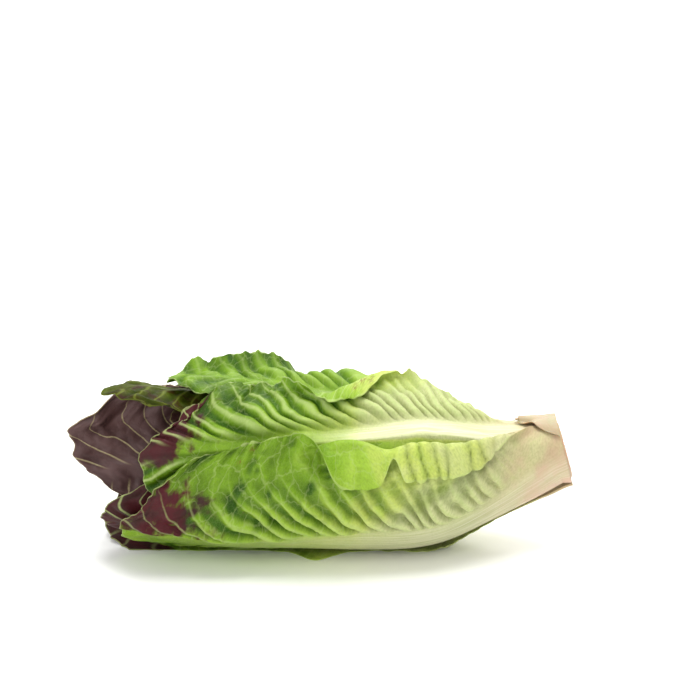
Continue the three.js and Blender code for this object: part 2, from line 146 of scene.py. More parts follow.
softbox("key_light", (0.2, 0.05, 1.3), size=0.9, watts=17)
softbox("front_light", (-0.7, -1.2, 0.8), size=0.9, watts=9)
softbox("far_light", (0, 2.2, 1.6), size=1.6, watts=40, aim=(0, 2.2, 0))
world = bpy.data.worlds.new("surround")
bpy.context.scene.world = world
bpy.context.scene.view_settings.view_transform = "Standard"
world.use_nodes = True
background = world.node_tree.nodes["Background"]
background.inputs["Color"].default_value = (1, 1, 1, 1)
background.inputs["Strength"].default_value = SURROUND_STRENGTH

# The stem is a short cone of firm cream tissue in the middle of the head, cut square at the
# butt. The cut shows a paler pith inside a ring of sap vessels, and blushes pink with air.
BUTT_LIFT = 8  # how far the centre line rises towards the cut
BUTT_LIFT_LENGTH = 28
STEM_RADIUS = [[0, 15], [1, 16], [2.4, 15.6], [4, 12], [12, 9.5], [40, 6.5], [62, 4.5], [72, 2.2]]
STEM_LENGTH = 72
CUT_HOLLOW = 0.35  # how far the middle of the cut lies in from its rim


def mix(a, b, t):
    return a + (b - a) * t


def step(low, high, x):
    """A smooth step, from 0 at low to 1 at high."""
    t = np.clip((x - low) / (high - low), 0, 1)
    return t * t * (3 - 2 * t)


def through(points, x):
    """A smooth line through a few (x, y) points, read at x."""
    xs, ys = np.array(points, float).T
    before = np.r_[0, np.arange(len(xs) - 1)]
    after = np.r_[np.arange(1, len(xs)), len(xs) - 1]
    slopes = (ys[after] - ys[before]) / (xs[after] - xs[before])
    x = np.clip(x, xs[0], xs[-1])
    i = np.clip(np.searchsorted(xs, x, side="right") - 1, 0, len(xs) - 2)
    width = xs[i + 1] - xs[i]
    t = (x - xs[i]) / width
    run = width * t * (1 - t)
    return mix(ys[i], ys[i + 1], t * t * (3 - 2 * t)) + run * (slopes[i] * (1 - t) - slopes[i + 1] * t)


# A place in the head is a station (mm from the cut), an angle (0 faces the front, 90 is up)
# and a distance out from the centre line, here and in every leaf section below
def centre_height(station):
    """The height of the head's centre line over the table, in mm."""
    return CENTRE_HEIGHT_MM + BUTT_LIFT * np.exp(-station / BUTT_LIFT_LENGTH)


def centre_slope(station):
    return -BUTT_LIFT / BUTT_LIFT_LENGTH * np.exp(-station / BUTT_LIFT_LENGTH)


def placed(points):
    """From points of the straight head (station, across, up) in mm to places in the frame."""
    station, across, up = np.moveaxis(points, -1, 0)
    slope = centre_slope(station)
    length = np.hypot(1, slope)
    x = -station + up * slope / length + head_shift[0]
    z = centre_height(station) + up / length
    return np.stack([x, across + head_shift[1], z], -1)


def in_head(station, angle, out):
    """Points of the straight head, from their stations, angles and distances out."""
    return np.stack([station, -out * np.cos(angle), out * np.sin(angle)], -1)


def closed_mesh(name, points, faces, finish):
    """A smooth-shaded object from points in mm and faces of three or four corners."""
    mesh = bpy.data.meshes.new(name)
    mesh.from_pydata((points * MM).tolist(), [], faces)
    mesh.shade_smooth()
    mesh.materials.append(finish)
    piece = bpy.data.objects.new(name, mesh)
    bpy.context.scene.collection.objects.link(piece)
    return piece


def note(piece, name, values):
    """Stores a number at each point of a piece, for its material to read."""
    attribute = piece.data.attributes.new(name, "FLOAT", "POINT")
    attribute.data.foreach_set("value", values.ravel().astype(np.float32))


# The head's middle in the frame, from the box of the stem's own node
RIM_POINTS = 25
head_shift = (0, 0)
rim_angles = np.linspace(0, 2 * math.pi, RIM_POINTS)
rim = placed(np.concatenate([
    in_head(np.full(RIM_POINTS, station), rim_angles, np.full(RIM_POINTS, radius))
    for station, radius in STEM_RADIUS[:3]
]))
stem_low, stem_high = (np.array(corner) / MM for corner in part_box("stem"))
head_shift = (stem_high[0] - rim[:, 0].max(), (stem_low[1] + stem_high[1]) / 2)


def calc(tree, operation, *values, **settings):
    node = add(tree, "ShaderNodeMath", dict(enumerate(values)), operation=operation, **settings)
    return node.outputs[0]


def ramp(tree, value, low, high, start=0.0, end=1.0):
    """A smooth step of a value from low to high, as a number from start to end."""
    ends = {"Value": value, "From Min": low, "From Max": high, "To Min": start, "To Max": end}
    return add(tree, "ShaderNodeMapRange", ends, interpolation_type="SMOOTHSTEP").outputs[0]


def tint(tree, share, first, second):
    """The first colour where share is 0, and the second where it is 1."""
    inputs = {"Factor": share, "A": first, "B": second}
    node = add(tree, "ShaderNodeMix", data_type="RGBA")
    for socket in node.inputs:
        if socket.name in inputs and (socket.type == "RGBA" or socket.name == "Factor") and socket.enabled:
            value = inputs[socket.name]
            if isinstance(value, bpy.types.NodeSocket):
                tree.links.new(value, socket)
            else:
                socket.default_value = value
    return next(s for s in node.outputs if s.type == "RGBA" and s.enabled)


def read(tree, name):
    return add(tree, "ShaderNodeAttribute", attribute_name=name).outputs["Fac"]


def noise(tree, place, scale, detail=3.0):
    inputs = {"Vector": place, "Scale": scale, "Detail": detail}
    return add(tree, "ShaderNodeTexNoise", inputs).outputs["Fac"]


# Cream tissue, warmer in its rind and palest in the pith, with a pink blush near the cut
stem_material, tree = new_material("stem_tissue")
place = add(tree, "ShaderNodeTexCoord").outputs["Object"]
grain = noise(tree, place, 900.0)
blush = noise(tree, place, 120.0)
from_cut = read(tree, "from_cut")
from_middle = read(tree, "from_middle")
flesh = tint(tree, grain, paint("98946A"), paint("A9A57E"))
flesh = tint(tree, ramp(tree, from_middle, 11.5, 13.5), flesh, paint("B5A67A"))
flesh = tint(tree, ramp(tree, from_middle, 8.5, 5.5), flesh, paint("C9C29E"))
pink = calc(tree, "MULTIPLY", ramp(tree, from_cut, 9, 0), ramp(tree, blush, 0.2, 0.8, 0.25, 1.0))
pink = calc(tree, "MULTIPLY", pink, ramp(tree, from_middle, 3, 9, 0.3, 0.8))
flesh = tint(tree, pink, flesh, paint("BC8C7A"))
bump = add(tree, "ShaderNodeBump", {"Strength": 0.35, "Distance": 0.0006, "Height": grain})
body = add(tree, "ShaderNodeBsdfPrincipled", {
    "Base Color": flesh, "Roughness": 0.42, "Normal": bump.outputs[0],
    "Subsurface Weight": 0.25, "Subsurface Scale": 0.003,
})
add(tree, "ShaderNodeOutputMaterial", {"Surface": body.outputs[0]})

STEM_RINGS = 70
STEM_SIDES = 96
CUT_RINGS = 16
stations = np.r_[np.zeros(CUT_RINGS), np.linspace(0, 1, STEM_RINGS) ** 1.6 * STEM_LENGTH]
cut_outs = np.linspace(0.02, 0.97, CUT_RINGS) * STEM_RADIUS[0][1]
outs = np.r_[cut_outs, through(STEM_RADIUS, stations[CUT_RINGS:])]
angles = np.linspace(0, 2 * math.pi, STEM_SIDES, endpoint=False)
station_grid, angle_grid = np.meshgrid(stations, angles, indexing="ij")
out_grid = np.repeat(outs[:, None], STEM_SIDES, 1)
saw_marks = 0.12 * np.sin(3 * angle_grid + out_grid) + 0.1 * np.sin(out_grid * np.sin(angle_grid) * 1.7)
on_cut = (np.arange(len(stations)) < CUT_RINGS)[:, None]
station_grid = station_grid + on_cut * (CUT_HOLLOW + saw_marks) * step(16, 12, out_grid)
rings = placed(in_head(station_grid, angle_grid, out_grid)).reshape(-1, 3)
ends = placed(np.array([[CUT_HOLLOW, 0, 0], [STEM_LENGTH + 1, 0, 0]]))
stem_points = np.concatenate([rings, ends])
stem_faces = []
last_ring = (len(stations) - 1) * STEM_SIDES
for ring in range(0, last_ring, STEM_SIDES):
    onward = ring + STEM_SIDES
    for j in range(STEM_SIDES):
        k = (j + 1) % STEM_SIDES
        stem_faces.append((ring + j, ring + k, onward + k, onward + j))
for j in range(STEM_SIDES):
    k = (j + 1) % STEM_SIDES
    stem_faces.append((len(rings), k, j))
    stem_faces.append((len(rings) + 1, last_ring + j, last_ring + k))
stem = closed_mesh("cut_stem", stem_points, stem_faces, stem_material)
note(stem, "from_cut", np.r_[station_grid.ravel(), 0, STEM_LENGTH])
note(stem, "from_middle", np.r_[out_grid.ravel(), 0, 0])
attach(stem, "root")
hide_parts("stem")

# The milky sap dries in small beads on the cut, in a ring over the vessels that it came from.
# They are pointed drops of one shape, strewn along a path on the cut, each one turned and
# sized a little differently.
POINT_SIDES = 7
POINT_TIP_RADIUS = 0.00005
SMALLEST_POINT = 0.35
STREWN_FROM_CUT = 6.0  # how far from the cut, in mm, the tissue is that they are coloured like

strewn_tree = bpy.data.node_groups.new("strewn_points", "GeometryNodeTree")
strewn_inputs = [
    ("Geometry", "NodeSocketGeometry"), ("Count", "NodeSocketInt"), ("Length", "NodeSocketFloat"),
    ("Thickness", "NodeSocketFloat"), ("Spread", "NodeSocketFloat"), ("Seed", "NodeSocketInt"),
    ("Finish", "NodeSocketMaterial"),
]
strewn_sockets = {label: strewn_tree.interface.new_socket(label, in_out="INPUT", socket_type=kind)
                  for label, kind in strewn_inputs}
strewn_tree.interface.new_socket("Geometry", in_out="OUTPUT", socket_type="NodeSocketGeometry")
given = strewn_tree.nodes.new("NodeGroupInput").outputs
path = add(strewn_tree, "GeometryNodeMeshToCurve", {"Mesh": given["Geometry"]}).outputs["Curve"]
spots = add(strewn_tree, "GeometryNodeResampleCurve", {"Curve": path, "Count": given["Count"]})
point = add(strewn_tree, "GeometryNodeMeshCone", {
    "Vertices": POINT_SIDES, "Side Segments": 2, "Radius Top": POINT_TIP_RADIUS,
    "Radius Bottom": given["Thickness"], "Depth": given["Length"],
})
aim = add(strewn_tree, "GeometryNodeInputNamedAttribute", {"Name": "aim"}, data_type="FLOAT_VECTOR")
any_way = {0: (-1, -1, -1), 1: (1, 1, 1), "Seed": given["Seed"]}
stray = add(strewn_tree, "FunctionNodeRandomValue", any_way, data_type="FLOAT_VECTOR")
stray_part = {0: stray.outputs[0], "Scale": given["Spread"]}
spread = add(strewn_tree, "ShaderNodeVectorMath", stray_part, operation="SCALE")
aim_and_spread = {0: aim.outputs[0], 1: spread.outputs[0]}
leaning = add(strewn_tree, "ShaderNodeVectorMath", aim_and_spread, operation="ADD")
turn = add(strewn_tree, "FunctionNodeAlignRotationToVector", {"Vector": leaning.outputs[0]}, axis="Z")
any_size = {2: SMALLEST_POINT, 3: 1.0, "Seed": given["Seed"]}
point_size = add(strewn_tree, "FunctionNodeRandomValue", any_size, data_type="FLOAT")
points = add(strewn_tree, "GeometryNodeInstanceOnPoints", {
    "Points": spots.outputs["Curve"], "Instance": point.outputs["Mesh"],
    "Rotation": turn.outputs[0], "Scale": point_size.outputs[1],
})
whole = add(strewn_tree, "GeometryNodeRealizeInstances", {0: points.outputs[0]})
finished = {"Geometry": whole.outputs[0], "Material": given["Finish"]}
ended = add(strewn_tree, "GeometryNodeSetMaterial", finished)
strewn_tree.links.new(ended.outputs[0], strewn_tree.nodes.new("NodeGroupOutput").inputs[0])


def strew(name, places, aims, from_middle, closed=False, **sizes):
    """Points strewn along a path of places in mm, each leaning the way its aim says. Their
    sizes are in metres."""
    mesh = bpy.data.meshes.new(name)
    edges = [(i, i + 1) for i in range(len(places) - 1)]
    if closed:
        edges.append((len(places) - 1, 0))
    mesh.from_pydata((places * MM).tolist(), edges, [])
    aim = mesh.attributes.new("aim", "FLOAT_VECTOR", "POINT")
    aim.data.foreach_set("vector", aims.ravel().astype(np.float32))
    piece = bpy.data.objects.new(name, mesh)
    bpy.context.scene.collection.objects.link(piece)
    growth = piece.modifiers.new("strewn", "NODES")
    growth.node_group = strewn_tree
    for label, value in sizes.items():
        growth[strewn_sockets[label].identifier] = value
    seen = piece.evaluated_get(bpy.context.evaluated_depsgraph_get())
    plain = bpy.data.meshes.new_from_object(seen)
    piece.modifiers.clear()
    piece.data = plain
    note(piece, "from_cut", np.full(len(plain.vertices), STREWN_FROM_CUT))
    note(piece, "from_middle", np.full(len(plain.vertices), from_middle))
    return piece


VESSEL_RING = 10.4
vessels = np.linspace(0, 2 * math.pi, 90, endpoint=False)
vessels_out = VESSEL_RING + 0.6 * np.sin(3 * vessels)
drops = strew(
    "sap_drops", placed(in_head(CUT_HOLLOW + 0 * vessels, vessels, vessels_out)),
    np.tile([1.0, 0, 0], (len(vessels), 1)), 0.0, closed=True,
    Count=46, Length=0.0009, Thickness=0.0007, Spread=0.35, Seed=3, Finish=stem_material,
)
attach(drops, "root")

# The heart is nine pale crisp leaves packed round the stem, each wrapped round those inside
# it, and only their tips show. Every leaf has a thick midrib that grows out of its clasping
# base, side ribs with pockets between them, a net of fine veins and a crimped margin.
OUTLINE = [
    [0, 17], [10, 19.5], [40, 30], [70, 42], [100, 47.5], [150, 50], [185, 52], [215, 50.5], [240, 47],
    [285, 40],
]
BLADE_THICKNESS = 0.6
MARGIN_THICKNESS = 0.35
STUB_THICKNESS = 3
RIB_THICKNESS = [[0, 2.4], [0.04, 3.6], [0.12, 4.4], [0.3, 3.6], [0.5, 2.2], [0.75, 0.9], [1, 0.2]]
RIB_HALF_WIDTH = [[0, 16], [0.15, 16.5], [0.3, 14], [0.5, 10], [0.75, 5.5], [1, 3]]
RIB_OUTWARD = 0.72  # share of the midrib's thickness that stands out as its keel
HALF_WIDTH = [
    [0, 0.28], [0.08, 0.34], [0.16, 0.5], [0.3, 0.78], [0.5, 0.98], [0.66, 1], [0.84, 0.92], [1, 0.66],
]
WIDEST = 56  # the half width at which a leaf has the whole of the rib sizes above
RIB_SLANTS = [[0, 0.3], [0.2, 0.5], [0.4, 0.9], [0.6, 1.5], [1, 2.2]]
RIB_BEND = 26  # how far from the midrib a side rib has bent round
TIP_ROUNDING = 32
NOTCHES_ACROSS = 11
CRIMP_PITCH = 8.2
MARGIN_SHARE = 0.24  # the outer share of the half width, which can turn out
TURN_RADIUS = 3  # of a margin that turns out
LEAST_RADIUS = 6
CLEARANCE = 0.35
DRAPE_SPAN = 2.2
DRAPE_SLOPE = 0.45
BASE_DRAPE_SLOPE = 1.3
DRAPE_REACH = 14
REST = (66, 252)  # the stations that the under leaf lies flat between

# How far out the layers laid so far reach, on a grid of stations and angles round the head
STATION_STEP = 2.0
STATIONS = 152
ANGLES = 180
grid_stations = np.arange(STATIONS) * STATION_STEP
half_step_on = through(STEM_RADIUS, grid_stations + STATION_STEP / 2)
stem_reach = np.maximum(through(STEM_RADIUS, grid_stations), half_step_on)
laid = np.repeat(np.where(grid_stations <= STEM_LENGTH + 1, stem_reach, 0)[:, None], ANGLES, 1)
LUMP_GRID = 64


def lumps(x, y, seed):
    """Smooth random lumps, one to each unit of x and y, from -1 to 1."""
    heights = np.random.default_rng(seed).uniform(-1, 1, (LUMP_GRID, LUMP_GRID))
    i, j = np.floor(x).astype(int), np.floor(y).astype(int)
    s, t = step(0, 1, x - i), step(0, 1, y - j)

    def corner(di, dj):
        return heights[(i + di) % LUMP_GRID, (j + dj) % LUMP_GRID]

    return mix(mix(corner(0, 0), corner(1, 0), s), mix(corner(0, 1), corner(1, 1), s), t)


def reach_over(radius, span):
    """The laid layers as a leaf drapes over them, on the grid of stations and angles."""
    reach = laid.copy()
    arcs = 2 * math.pi * radius / ANGLES
    slopes = mix(BASE_DRAPE_SLOPE, DRAPE_SLOPE, step(15, 100, grid_stations))
    rows = math.ceil((span + DRAPE_REACH) / STATION_STEP)
    columns = min(math.ceil((span + DRAPE_REACH) / arcs.min()), ANGLES // 2)
    for di in range(-rows, rows + 1):
        along = max(abs(di) * STATION_STEP - span, 0)
        source = laid[np.clip(np.arange(len(laid)) + di, 0, len(laid) - 1)]
        for dj in range(-columns, columns + 1):
            across = np.maximum(abs(dj) * arcs - span, 0)
            reach = np.maximum(reach, np.roll(source, -dj, 1) - (slopes * np.hypot(along, across))[:, None])
    # Two rounds of smoothing soften its creases
    for _ in range(2):
        level = np.pad(reach, ((1, 1), (0, 0)), mode="edge")
        level = level[:-2] / 4 + level[1:-1] / 2 + level[2:] / 4
        reach = np.roll(level, 1, 1) / 4 + level / 2 + np.roll(level, -1, 1) / 4
    return reach


def read_grid(grid, station, angle):
    """The value of a grid of stations and angles, between its points."""
    x = np.clip(station / STATION_STEP, 0, len(grid) - 1.001)
    y = angle / (2 * math.pi) * ANGLES
    i, j = np.floor(x).astype(int), np.floor(y).astype(int)
    s, t = x - i, y - j
    low = mix(grid[i, j % ANGLES], grid[i, (j + 1) % ANGLES], t)
    high = mix(grid[i + 1, j % ANGLES], grid[i + 1, (j + 1) % ANGLES], t)
    return mix(low, high, s)


# What a leaf has where its own section says nothing else. Sizes are in mm, and pairs of
# numbers run from its base (0) to its tip (1). There is one entry for each of its two margins
# in width, strip and fold.
PLAIN_LEAF = {
    "above": 8,  # its height over the table, at least
    "belly": [[0, 0], [1, 0]],  # how far it swells past the outline, by station
    "stub": False,  # whether only its torn base is there
    "frill": 0.4,  # the height of its waves
    "blunt": 1,  # how round its tip is
    "width": None,  # its half width, as a share of half
    "strip": None,  # the width of the strip along a margin
    "fold": None,  # how far that strip turns outward, in degrees
    "puff": 0,  # how far the crimps of a turned strip stand out
    "rib": 0.3,  # how thick its midrib is, as a share of RIB_THICKNESS
    "broad": 1,  # how broad it is towards the tip, as a share of RIB_HALF_WIDTH
    "keel": 0,  # 1 where it has a sharp keel
    "hub": [[0, 0], [1, 0]],  # how far it lies off the leaf's middle line
    "pale": (0.7, 1),  # where its cream colour starts to fade, and where it ends
    "pitches": (5.5, 12),  # between side ribs: at the base, and what is added by the tip
    "rib_slope": 1,  # how steeply they run towards the tip
    "deep": 1,  # how deep the pockets between them are
    "calm": 1,  # the same, on the side of the first margin
    "plain_edge": 0.4,  # the same, next to the margins
    "pucker": 1,  # the height of the blisters
    "veined": 1,  # how clearly the side ribs show
    "vein_width": 0.42,
    "ages": [[0, -0.1], [0.15, 0], [0.35, 0.2], [0.6, 0.6], [1, 0.85]],  # how ripe it is
    "bruises": [],  # brown marks: along, across and size
    "rows": 90,
    "columns": 18,
    "strip_columns": 7,
    "seed": 0,
}


class Leaf:
    """A leaf's sizes, and its grid: u along it, v and share from the midrib to a margin. turn
    is the angle that it grows at, and start and end are its stations."""

    def __init__(self, name, turn, start, end, half, depth, **own):
        self.name, self.turn, self.start, self.half, self.depth = name, turn, start, half, depth
        vars(self).update(PLAIN_LEAF | own)
        self.length = end - start
        self.size = 0.9 if self.stub else min(1, max(half) / WIDEST)
        self.whole = 0 if self.stub else 1
        body = np.linspace(0, 1 - MARGIN_SHARE, self.columns + 1)
        shares = np.r_[body, np.linspace(1 - MARGIN_SHARE, 1, self.strip_columns + 1)[1:]]
        along, across = np.linspace(0, 1, self.rows + 1), np.r_[-shares[:0:-1], shares]
        self.u, self.v = np.meshgrid(along, across, indexing="ij")
        self.low_side = self.v < 0
        self.share = np.abs(self.v)
        self.travel = self.length * self.u
        self.phase = self.seed * 2.4
        slant = 2.2 * (self.share - 0.8) + 0.45 * self.lumpy(self.travel / 9, self.share * 9, 10)
        beat = self.travel / CRIMP_PITCH + 0.5 * self.lumpy(self.travel / 14, 0 * self.v, 13) + slant
        self.crimp = np.abs(np.sin(math.pi * beat)) ** 0.6
        crimped = step(0.62, 0.78, self.share) * step(0.1, 0.14, self.u) * step(0.395, 0.36, self.u)
        self.crimped = crimped * (self.puff > 0) * ~self.low_side

    def sides(self, low, high):
        """The first value on the side of the first margin, and the second on the other."""
        return np.where(self.low_side, low, high)

    def lumpy(self, x, y, seed):
        return lumps(x, y, self.seed * 20 + seed)


def shape_margins(leaf):
    """How far across every point lies, with the margin strips turned outward."""
    u, share = leaf.u, leaf.share
    widths = leaf.width or [HALF_WIDTH, HALF_WIDTH]
    strips, folds = leaf.strip or [None, None], leaf.fold or [None, None]
    inner = 1 - MARGIN_SHARE
    halves = leaf.sides(*(size * through(width, u) for size, width in zip(leaf.half, widths)))
    strip = leaf.sides(*(through(line, u) if line else halves * MARGIN_SHARE for line in strips))
    body = leaf.sides(*(halves if line else halves * inner for line in strips))
    turns = leaf.sides(*(through(line, u) if line else 0 * u for line in folds))
    turns = np.radians(np.maximum(turns, 0))
    away = np.where(share < inner, body * share / inner, body + strip * (share - inner) / MARGIN_SHARE)
    scallop = 0.8 * leaf.lumpy(leaf.travel / 6.5, leaf.v, 1)
    scallop = scallop + 0.35 * leaf.lumpy(leaf.travel / 3.4, leaf.v, 2)
    away = away + scallop * step(0.75, 1, share) * step(0.1, 0.3, u) * leaf.whole * min(1, leaf.frill)
    away = away + 1.6 * (leaf.crimp - 0.5) * leaf.crimped * step(0.9, 1, share)
    past = np.maximum(away - body, 0)
    bent = np.minimum(past, TURN_RADIUS * turns)
    bend = bent / TURN_RADIUS
    sideways = np.minimum(away, body) + TURN_RADIUS * np.sin(bend) + (past - bent) * np.cos(bend)
    leaf.lifted = TURN_RADIUS * (1 - np.cos(bend)) + (past - bent) * np.sin(bend)
    leaf.along = leaf.sides(-1, 1) * np.where(turns > 0, sideways, away)
    leaf.away, leaf.turned = away, step(1.2, 2.6, turns) * step(0, 6, past)
    leaf.edge = np.maximum(np.minimum(body + strip - away, (1 - u) * leaf.length), 0)


def place_leaf(leaf):
    """The station and the angle of every point, and how far out its ring would lie."""
    u, share, along = leaf.u, leaf.share, leaf.along
    rounding = 2 if leaf.stub else TIP_ROUNDING * leaf.size * leaf.blunt
    notches = 0.5 - 0.5 * np.cos(leaf.v * NOTCHES_ACROSS + leaf.phase)
    notch = max(leaf.frill, 1) * notches * step(0.7, 1, u) * leaf.whole
    ragged = 1.3 * leaf.lumpy(along / 6, u, 3) + 0.7 * leaf.lumpy(along / 2.4, u, 4)
    ragged = ragged * step(0.9, 1, u) * leaf.whole
    leaf.station = leaf.start + leaf.travel - rounding * share ** 2 * step(0.45, 1, u) - notch + ragged
    middle = through(leaf.turn, u) if np.ndim(leaf.turn) else leaf.turn
    settled = step(leaf.start, leaf.start + 85, leaf.station)
    circle = through(OUTLINE, leaf.station) - max(leaf.depth, 0) * settled - min(leaf.depth, 0) - 2.5
    circle = circle + through(leaf.belly, leaf.station)
    stemmed = through(STEM_RADIUS, leaf.station) + 2
    settled = mix(1, settled, min(1, max(leaf.depth, 0) / 12))
    leaf.around = np.maximum(mix(stemmed, circle, settled), LEAST_RADIUS)
    leaf.angle = np.radians(middle) + along / leaf.around


def grow_ribs(leaf):
    """The midrib's thickness, and the side ribs with their pockets. rib_count has a whole
    number at each side rib, and grows towards the tip."""
    u, travel = leaf.u, leaf.travel
    aside = leaf.away * leaf.sides(-1, 1) - through(leaf.hub, u)
    away = np.abs(aside)
    lower = aside < 0
    leaf.aside, leaf.from_rib = aside, away
    leaf.rib_half = through(RIB_HALF_WIDTH, u) * leaf.size * mix(1, leaf.broad, step(0.1, 0.8, u))
    height = STUB_THICKNESS if leaf.stub else through(RIB_THICKNESS, u) * leaf.rib
    rounded = np.clip(1 - (away / leaf.rib_half) ** 2, 0, 1) ** 1.4
    keeled = np.clip(1 - away / (leaf.rib_half * np.where(lower, 0.7, 1)), 0, 1) ** 1.3 * 1.25
    leaf.ribbing = mix(rounded, keeled, leaf.keel) * height
    leaf.beyond = np.maximum(away - leaf.rib_half * 0.7, 0)

    slant = through(RIB_SLANTS, u) * leaf.rib_slope
    wander = 3.2 * leaf.lumpy(travel / 17, leaf.v * 2.5, 5) + 0.9 * leaf.lumpy(travel / 6, leaf.v * 6, 6)
    bent = np.exp(-leaf.beyond / RIB_BEND)
    root = travel - slant * RIB_BEND * (1 - bent) + wander * step(0, 10, leaf.beyond)
    root = np.maximum(root, 0)
    base_pitch, growth = leaf.pitches
    spread = np.arctan(math.sqrt(growth / base_pitch) * root / leaf.length)
    rib_count = leaf.length / math.sqrt(base_pitch * growth) * spread + np.where(lower, 0.5, 0)
    rib_count = rib_count + 0.3 * leaf.lumpy(rib_count / 1.7, np.where(lower, 9.0, 3.0), 12)
    leaf.rib_count = np.maximum(rib_count, 0)
    steepness = slant * bent
    leaf.pitch = (base_pitch + growth * (root / leaf.length) ** 2) / np.hypot(1, steepness)
    since = leaf.rib_count % 1
    strengths = np.random.default_rng(leaf.seed + 50).uniform(0.35, 1.15, 200)
    number = np.floor(leaf.rib_count).astype(int) + np.where(lower, 90, 0)
    strength = mix(strengths[number], strengths[number + 1], step(0.3, 0.7, since))
    reach = mix(0.3, 0.5, step(6, 34, leaf.beyond))
    leaf.hollow = step(reach, 0.25 * reach, np.abs(since - 0.45)) * mix(0.6, 1, strength)
    narrow = (np.maximum(1 - since / 0.2, 0) ** 1.5 + since ** 2.4) * strength
    leaf.crest = mix(1 - leaf.hollow, narrow, step(6, 26, leaf.beyond))
    leaf.near = step(-1, 5, leaf.beyond - 1)
    calm = leaf.sides(leaf.calm, 1) * mix(1, leaf.plain_edge, step(0.76, 0.95, leaf.share))
    fade = leaf.near * step(0.1, 0.2, u) * mix(1, 0.22, step(14, 34, leaf.beyond)) * leaf.size * calm
    leaf.rib_fade = fade * (0.25 + 0.75 * leaf.rib) * (1 - leaf.turned)


def crimp_blade(leaf):
    """How far the blade stands out over its ring: side ribs, blisters, waves and frills."""
    u, v, share, travel, away, along = leaf.u, leaf.v, leaf.share, leaf.travel, leaf.away, leaf.along
    along_it = through([[0, 0.7], [0.4, 1], [0.8, 0.8], [1, 0.5]], u)
    side_ribs = 4 * leaf.deep * leaf.crest * leaf.rib_fade * along_it
    blade = step(4, 16, leaf.beyond) * step(0.1, 0.22, u) * (0.4 + 0.6 * leaf.rib) * leaf.size
    big = 0.5 + 0.5 * leaf.lumpy(travel / 11 + 0.3 * away / 11, away / 9, 7)
    small = (1 - np.abs(leaf.lumpy(travel / 5, away / 4.2, 8))) ** 1.5
    tiny = 0.5 + 0.5 * leaf.lumpy(travel / 2.4, away / 2.2, 9)
    # The low places between blisters, where the finish paints shade into the dents
    leaf.dents = blade * step(0.55, 0.2, big + 0.25 * small)
    blisters = blade * (1.5 * big + 0.9 * small + 0.3 * tiny) * (1 - 0.55 * leaf.turned) * leaf.pucker
    puffs = leaf.puff * leaf.crimp * leaf.crimped
    free = step(0.5, 1, np.maximum(share, u ** 3)) * step(0.15, 0.35, u)
    waves = 0.5 + 0.33 * np.sin((travel / 41 + along / 60) * 2 * math.pi + leaf.phase)
    waves = waves + 0.17 * np.sin((travel / 23 - along / 35) * 2 * math.pi + 2 * leaf.phase)
    drift = 0.5 * leaf.lumpy(travel / 10, v, 11)
    ruffle = 0.5 + 0.5 * np.sin((travel / 13 + drift) * 2 * math.pi)
    fine_ruffle = 0.5 + 0.5 * np.sin((travel / 5.7 + 1.7 * drift) * 2 * math.pi)
    tip_ruffle = 0.5 + 0.5 * np.sin((along / 13 + drift) * 2 * math.pi)
    edging = step(0.66, 1, share) * step(0.16, 0.32, u)
    frill = leaf.frill * (free * waves + edging * (0.6 * ruffle + 0.3 * fine_ruffle * step(0.85, 1, share)))
    frill = frill + leaf.frill * 0.55 * tip_ruffle * step(0.85, 1, u)
    return side_ribs + blisters + puffs + frill


